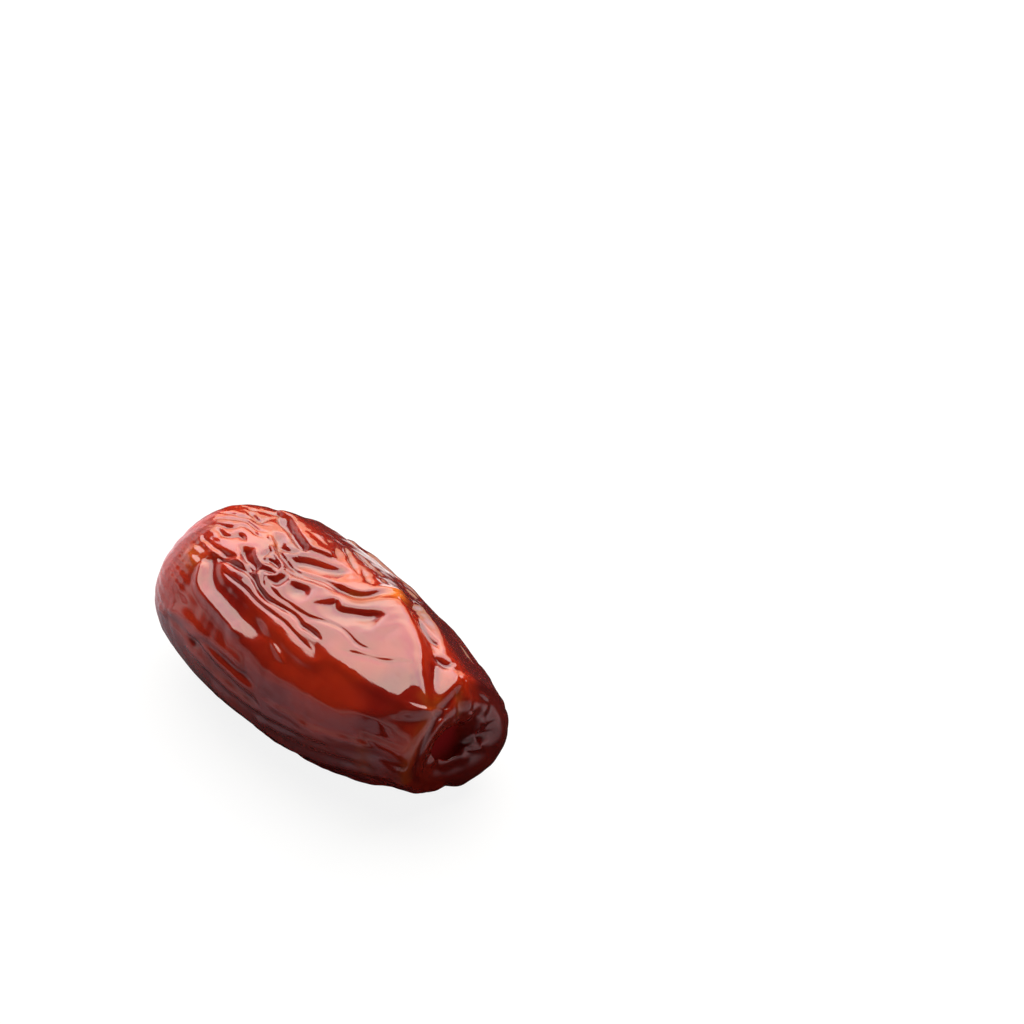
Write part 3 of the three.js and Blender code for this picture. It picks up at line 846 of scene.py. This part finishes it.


# %% [markdown]
# ## The skin
#
# The skin is a thin, sugar-wet film over dark translucent flesh. One sharp reflection makes the
# film, and scattering under it the red glow. A clear coat over a rough skin was the other way,
# but its second, dull highlight looks like wax. The colour deepens with painted shade in the
# creases, at the stem end, underneath and on the far side, and in slow blotches of the fruit's own
# tone; a painted orange glow lies on the thin crests, and a painted glow in the hollow.

# %% The skin
FLESH_RED = (0.245, 0.0125, 0.0025)
# DEEP_RED is the blotches' own tone, and also the painted shade in the creases
DEEP_RED = (0.132, 0.004, 0.002)
# the painted orange glow on thin crests
GLOW_ORANGE = (0.4, 0.09, 0.011)
SHADE_MAROON = (0.06, 0.0045, 0.0045)
HOLLOW_BROWN = (0.14, 0.012, 0.006)
HOLLOW_PAINTED_GLOW = (0.06, 0.0025, 0.003)     # painted glow: emission that stands for light seeping through the flesh
HOLLOW_END_GLOW = (0.011, 0.0006, 0.0006)  # and the weaker painted glow that is left of it at the blind end
NO_LIGHT = (0.0, 0.0, 0.0)
BLOTCH_SCALE, FILM_SCALE, PORE_SCALE = 110, 260, 1500
NOISE_SPAN = (0.35, 0.7)                # the part of a noise that is used
CREASE_SPAN = (-0.02, -0.2)             # millimetres under the neighbourhood where the painted crease shade begins and is full
FILM_ROUGHNESS = (0.07, 0.17)
PORE_DEPTH, PORE_STRENGTH = 0.00001, 0.35
SKIN_IOR = 1.5
FLESH_SCATTER, FLESH_REACH = 0.35, 0.0015    # share, and metres that red light goes in the flesh
FLESH_REACH_BY_COLOUR = (1.0, 0.2, 0.08)


def add_colour(tree, shader):
    """The colour of the skin with its painted shade and painted glow, and the painted glow in the
    hollow.
    """
    inside = attribute(tree, "inside")
    blotches = mapped(tree, noise(tree, BLOTCH_SCALE), *NOISE_SPAN)
    creases = mapped(tree, attribute(tree, "relief"), *CREASE_SPAN)
    colour = mixed(tree, blotches, FLESH_RED, DEEP_RED)
    # painted shade: darker in the creases
    colour = mixed(tree, creases, colour, DEEP_RED)
    # painted shade: darker at the stem end, underneath and on the far side
    colour = mixed(tree, attribute(tree, "painted_shade"), colour, SHADE_MAROON)
    # painted glow: orange on thin crests, where light would come through
    colour = mixed(tree, attribute(tree, "glow"), colour, GLOW_ORANGE)
    colour = mixed(tree, mapped(tree, inside, 0.03, 0.2), colour, HOLLOW_BROWN)
    tree.links.new(colour, shader.inputs["Base Color"])
    # painted glow in the hollow: emission that stands for light seeping through the flesh
    hollow_glow = mixed(tree, mapped(tree, inside, 0.06, 0.3), NO_LIGHT, HOLLOW_PAINTED_GLOW)
    hollow_glow = mixed(tree, mapped(tree, inside, 0.4, 0.95), hollow_glow, HOLLOW_END_GLOW)
    tree.links.new(hollow_glow, shader.inputs["Emission Color"])
    shader.inputs["Emission Strength"].default_value = 1.0


def add_film(tree, shader):
    """The wet film: how smooth it is, and the fine pores under it."""
    roughness = mapped(tree, noise(tree, FILM_SCALE, 4.0), *NOISE_SPAN, *FILM_ROUGHNESS)
    tree.links.new(roughness, shader.inputs["Roughness"])
    pores = tree.nodes.new("ShaderNodeBump")
    pores.inputs["Strength"].default_value = PORE_STRENGTH
    pores.inputs["Distance"].default_value = PORE_DEPTH
    tree.links.new(noise(tree, PORE_SCALE, 1.5), pores.inputs["Height"])
    tree.links.new(pores.outputs["Normal"], shader.inputs["Normal"])
    shader.inputs["IOR"].default_value = SKIN_IOR


def skin_material():
    """Glossy date skin over dark translucent flesh."""
    material, tree, shader = new_material("date_skin")
    add_colour(tree, shader)
    add_film(tree, shader)
    shader.inputs["Subsurface Weight"].default_value = FLESH_SCATTER
    shader.inputs["Subsurface Radius"].default_value = FLESH_REACH_BY_COLOUR
    shader.inputs["Subsurface Scale"].default_value = FLESH_REACH
    return material


date.data.materials.append(skin_material())
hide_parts("date")
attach(date, "root")
print("nodes in the skin:", len(date.data.materials[0].node_tree.nodes))

# %% [markdown]
# ## The table
#
# A glossy skin is a mirror, and half of what it mirrors is the table. The camera sees a plain pale
# one. In reflections it is dimmer, with painted shade that is darkest close to the date, behind it
# and in its own shadow beyond the stem end, and with one bright painted gap that lights the far
# flank, so that the shape reads. As a source of soft light it is an even grey. The Light Path node
# tells these apart. A table that is white to all would wash the red out.

# %% The table
FLOOR_RADIUS = 2.0
TABLE_SEEN = (0.08, 0.08, 0.08)            # what the camera sees takes this much of the light
TABLE_HAZE = (0.87, 0.87, 0.87)            # and is this pale by itself
TABLE_IN_REFLECTION = (0.29, 0.25, 0.3)
TABLE_PAST_ENDS = (0.5, 0.34, 0.38)
# painted shade in reflections: behind the date, in its own shadow and close to it
TABLE_BEHIND_SHADE = (0.018, 0.012, 0.012)
TABLE_CLOSE_SHADE = (0.1, 0.08, 0.09)
# a painted bright patch in reflections, which lights the far flank
TABLE_GAP = (0.6, 0.6, 0.63)
TABLE_AS_LIGHT = (0.32, 0.3, 0.3)
STEM_SIDE_OPENING, TIP_SIDE_OPENING = -1.0, 0.6    # how the bright part widens beyond the ends
# edges on the table, in metres
PAST_ENDS = (0.023, 0.034)                 # beyond the date's ends, either way
CLOSE_BY = (0.015, 0.036)                  # from the date's middle outwards
SHADOW_BEGINS, SHADOW_ENDS = (0.017, 0.021), (0.032, 0.026)    # beyond the stem end
BEHIND = (-0.018, -0.004)
GAP_BEGINS, GAP_TIP_SIDE = (0.015, 0.022), (-0.036, -0.03)
GAP_LEFT, GAP_RIGHT = (-0.85, -0.72), (-0.42, -0.5)    # the gap's slanting edges, x over y


def math_node(tree, operation, *values):
    """One step of arithmetic on sockets and numbers."""
    node = tree.nodes.new("ShaderNodeMath")
    node.operation = operation
    for socket, value in zip(node.inputs, values):
        if isinstance(value, float):
            socket.default_value = value
        else:
            tree.links.new(value, socket)
    return node.outputs["Value"]


def product(tree, *factors):
    """Several masks or strengths, multiplied."""
    result = factors[0]
    for factor in factors[1:]:
        result = math_node(tree, "MULTIPLY", result, factor)
    return result


def reflected_table(tree, x, y):
    """The table's colour in reflections, by place, with painted shade near the date and a painted
    bright gap.
    """
    stem_side, tip_side = math_node(tree, "MAXIMUM", x, 0.0), math_node(tree, "MINIMUM", x, 0.0)
    behind = math_node(tree, "MULTIPLY_ADD", stem_side, STEM_SIDE_OPENING, y)
    behind = math_node(tree, "MULTIPLY_ADD", tip_side, TIP_SIDE_OPENING, behind)
    squares = math_node(tree, "MULTIPLY_ADD", x, x, product(tree, y, y))
    afar = mapped(tree, math_node(tree, "SQRT", squares), *CLOSE_BY)
    past_ends = mapped(tree, math_node(tree, "ABSOLUTE", x), *PAST_ENDS)
    own_shadow = product(tree, mapped(tree, x, *SHADOW_BEGINS), mapped(tree, x, *SHADOW_ENDS))
    slant = math_node(tree, "DIVIDE", x, math_node(tree, "MAXIMUM", y, 0.001))
    gap = product(
        tree,
        mapped(tree, slant, *GAP_LEFT),
        mapped(tree, slant, *GAP_RIGHT),
        mapped(tree, y, *GAP_BEGINS),
        mapped(tree, x, *GAP_TIP_SIDE),
    )
    colour = mixed(tree, past_ends, TABLE_IN_REFLECTION, TABLE_PAST_ENDS)
    # painted shade close to the date, in its own shadow and behind it
    colour = mixed(tree, afar, TABLE_CLOSE_SHADE, colour)
    colour = mixed(tree, own_shadow, colour, TABLE_BEHIND_SHADE)
    colour = mixed(tree, mapped(tree, behind, *BEHIND), colour, TABLE_BEHIND_SHADE)
    return mixed(tree, gap, colour, TABLE_GAP)


def table_material():
    """Plain and pale to the camera, and dimmer to reflections and as a source of light."""
    material, tree, shader = new_material("table_white")
    path = tree.nodes.new("ShaderNodeLightPath")
    coordinates = tree.nodes.new("ShaderNodeTexCoord")
    axes = tree.nodes.new("ShaderNodeSeparateXYZ")
    tree.links.new(coordinates.outputs["Object"], axes.inputs["Vector"])
    reflected = reflected_table(tree, axes.outputs["X"], axes.outputs["Y"])
    colour = mixed(tree, path.outputs["Is Glossy Ray"], TABLE_AS_LIGHT, reflected)
    colour = mixed(tree, path.outputs["Is Camera Ray"], colour, TABLE_SEEN)
    tree.links.new(colour, shader.inputs["Base Color"])
    glow = mixed(tree, path.outputs["Is Camera Ray"], NO_LIGHT, TABLE_HAZE)
    tree.links.new(glow, shader.inputs["Emission Color"])
    shader.inputs["Emission Strength"].default_value = 1.0
    shader.inputs["Roughness"].default_value = 0.7
    shader.inputs["Specular IOR Level"].default_value = 0.0
    return material


def add_floor():
    """A round table top under the date."""
    bm = bmesh.new()
    bmesh.ops.create_circle(bm, cap_ends=True, segments=96, radius=FLOOR_RADIUS)
    mesh = bpy.data.meshes.new("table")
    bm.to_mesh(mesh)
    bm.free()
    mesh.materials.append(table_material())
    floor = bpy.data.objects.new("table", mesh)
    bpy.context.collection.objects.link(floor)


add_floor()
print("table's radius in metres:", FLOOR_RADIUS)

# %% [markdown]
# ## The light
#
# The broad bright patch on the crown is the reflection of one large soft panel, high behind the
# date. Its four edges were found from where the patch ends on the skin, so they are given as they
# are seen from the date: shares of the panel's distance, across it and along it. Small lamps
# would give round spots, which this skin doesn't show. The panel's cloth is uneven and dims
# towards the horizon.

# %% The light
PANEL_FACING = Vector((-0.41, 0.176, 0.895)).normalized()    # from the date square to the panel
PANEL_ACROSS = Vector((0.651, 0.743, 0.152))                 # along its near left edge
PANEL_DISTANCE = 0.4
PANEL_ACROSS_REACH = (-0.56, 1.3)      # its edges, as shares of its distance
PANEL_ALONG_REACH = (-0.56, 2.0)
PANEL_RADIANCE = 7.5
PANEL_COLOUR = (1.0, 0.97, 0.84)
PANEL_PATCHES = (0.74, 0.72, 0.78)       # where its cloth hangs thicker
PANEL_LOW_COLOUR = (0.48, 0.32, 0.21)    # towards the horizon
PATCH_SCALE, PATCH_SPAN = 3.0, (0.35, 0.65)
LOW_SPAN = (0.42, 0.72)                  # where along the panel it dims


def cloth_colour(tree):
    """The panel's colour over its width and length, which run from 0 to 1."""
    place = tree.nodes.new("ShaderNodeNewGeometry").outputs["Parametric"]
    axes = tree.nodes.new("ShaderNodeSeparateXYZ")
    tree.links.new(place, axes.inputs["Vector"])
    patches = tree.nodes.new("ShaderNodeTexNoise")
    patches.inputs["Scale"].default_value = PATCH_SCALE
    tree.links.new(place, patches.inputs["Vector"])
    thicker = mapped(tree, patches.outputs["Fac"], *PATCH_SPAN)
    cloth = mixed(tree, thicker, PANEL_COLOUR, PANEL_PATCHES)
    return mixed(tree, mapped(tree, axes.outputs["Y"], *LOW_SPAN), cloth, PANEL_LOW_COLOUR)


def add_panel():
    """A rectangular panel behind and above the date, placed by the edges of its reflection."""
    across = (PANEL_ACROSS - PANEL_FACING * PANEL_ACROSS.dot(PANEL_FACING)).normalized()
    along = PANEL_FACING.cross(across)
    data = bpy.data.lights.new("panel", "AREA")
    data.shape = "RECTANGLE"
    data.size = PANEL_DISTANCE * (PANEL_ACROSS_REACH[1] - PANEL_ACROSS_REACH[0])
    data.size_y = PANEL_DISTANCE * (PANEL_ALONG_REACH[1] - PANEL_ALONG_REACH[0])
    data.energy = PANEL_RADIANCE * math.pi * data.size * data.size_y
    data.use_nodes = True
    tree = data.node_tree
    tree.links.new(cloth_colour(tree), tree.nodes["Emission"].inputs["Color"])
    middle = PANEL_FACING + across * sum(PANEL_ACROSS_REACH) / 2 + along * sum(PANEL_ALONG_REACH) / 2
    panel = bpy.data.objects.new("panel", data)
    turn = Matrix((across, along, PANEL_FACING)).transposed()
    panel.matrix_world = Matrix.Translation(body_middle + middle * PANEL_DISTANCE) @ turn.to_4x4()
    bpy.context.collection.objects.link(panel)
    return middle.normalized()


print("panel seen towards", [round(v, 2) for v in add_panel()])

# %% [markdown]
# ## The room
#
# The room is pale behind the table, a soft even light, and dim in reflections but for a haze low
# over the table. The haze draws the pale line along the outline, where any skin is most mirror-
# like, and it is stronger beyond the pointed end. A plain grey world would do for the light, but
# it would veil the dark near side.

# %% The room
ROOM_LIGHT, ROOM_REFLECTION, BACKDROP = 0.12, 0.05, 0.95
HORIZON_REFLECTION, HAZE_HEIGHT = 0.9, 0.24    # the haze low over the table, and where it ends
TIP_SIDE_HAZE, TIP_SIDE = 1.8, (-0.85, -0.6)   # how much brighter it is beyond the tip
FAR_SIDE_HAZE, FAR_SIDE = 0.1, (0.1, 0.5)      # and how much is left of it behind the date


def add_room():
    """A world that is pale behind the table, soft as light and dim in reflections."""
    world = bpy.data.worlds.new("room")
    bpy.context.scene.world = world
    world.use_nodes = True
    tree = world.node_tree
    background = tree.nodes["Background"]
    path = tree.nodes.new("ShaderNodeLightPath")
    direction_of_view = tree.nodes.new("ShaderNodeTexCoord")
    axes = tree.nodes.new("ShaderNodeSeparateXYZ")
    tree.links.new(direction_of_view.outputs["Generated"], axes.inputs["Vector"])
    haze = product(
        tree,
        mapped(tree, axes.outputs["Z"], 0.0, HAZE_HEIGHT, HORIZON_REFLECTION, ROOM_REFLECTION),
        mapped(tree, axes.outputs["Y"], *FAR_SIDE, 1.0, FAR_SIDE_HAZE),
        mapped(tree, axes.outputs["X"], *TIP_SIDE, TIP_SIDE_HAZE, 1.0),
    )
    glossy = tree.nodes.new("ShaderNodeMix")
    glossy.inputs["A"].default_value = ROOM_LIGHT
    tree.links.new(haze, glossy.inputs["B"])
    tree.links.new(path.outputs["Is Glossy Ray"], glossy.inputs["Factor"])
    seen = tree.nodes.new("ShaderNodeMix")
    seen.inputs["B"].default_value = BACKDROP
    tree.links.new(path.outputs["Is Camera Ray"], seen.inputs["Factor"])
    tree.links.new(glossy.outputs["Result"], seen.inputs["A"])
    tree.links.new(seen.outputs["Result"], background.inputs["Strength"])
    background.inputs["Color"].default_value = (1, 1, 1, 1)


add_room()
bpy.context.scene.view_settings.view_transform = "Standard"
